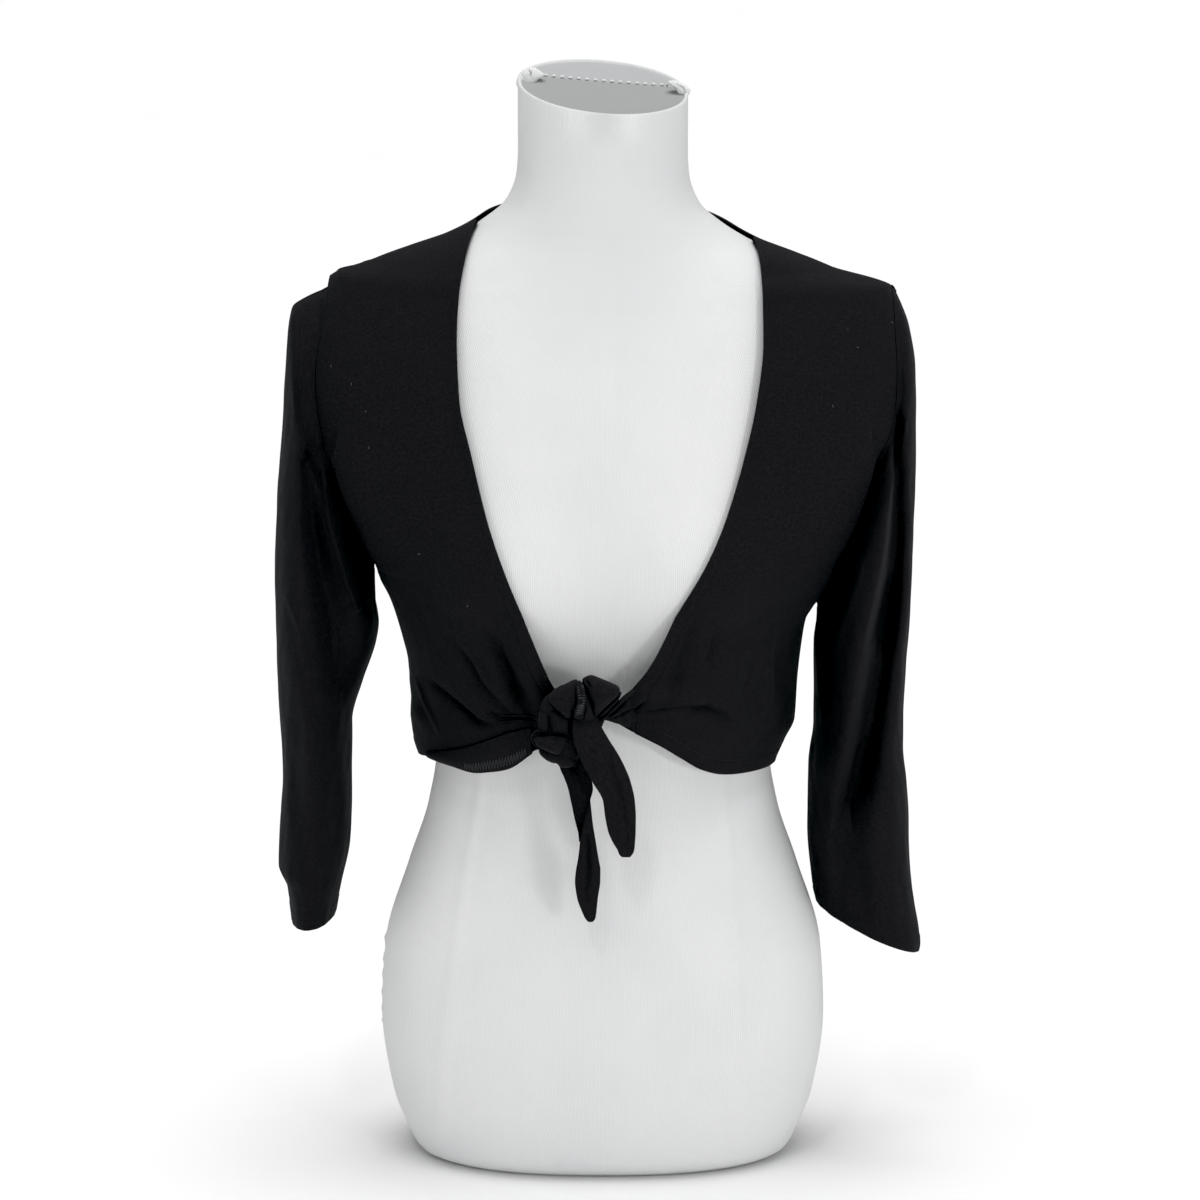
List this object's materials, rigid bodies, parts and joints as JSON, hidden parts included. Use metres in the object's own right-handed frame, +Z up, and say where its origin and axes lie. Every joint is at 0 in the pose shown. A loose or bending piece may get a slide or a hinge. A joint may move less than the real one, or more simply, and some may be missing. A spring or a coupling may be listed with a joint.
{
  "type": "knitted shrug on dress form",
  "caption": "Cropped jersey shrug with set-in three-quarter sleeves and a tied front, worn on a limbless dress form with a flat base.",
  "frame": {"origin": "middle of the dress form's flat base", "axes": "+Z up from the base to the neck, -Y out of the front where the shrug is tied, +X towards the wearer's left"},
  "size_m": [0.4527, 0.2736, 0.7721],
  "materials": {
    "form_cover": "matte",
    "cap_cloth": "matte",
    "jersey": "matte"
  },
  "bodies": {
    "root": {"dress_form": "form_cover", "neck_cap": "cap_cloth", "back": "jersey", "front_right": "jersey", "front_left": "jersey", "sleeve_right": "jersey", "sleeve_left": "jersey", "hem_turn_right": "jersey", "tie_knot": "jersey", "tie_end_front": "jersey", "tie_end_rear": "jersey"}
  },
  "joints": []
}
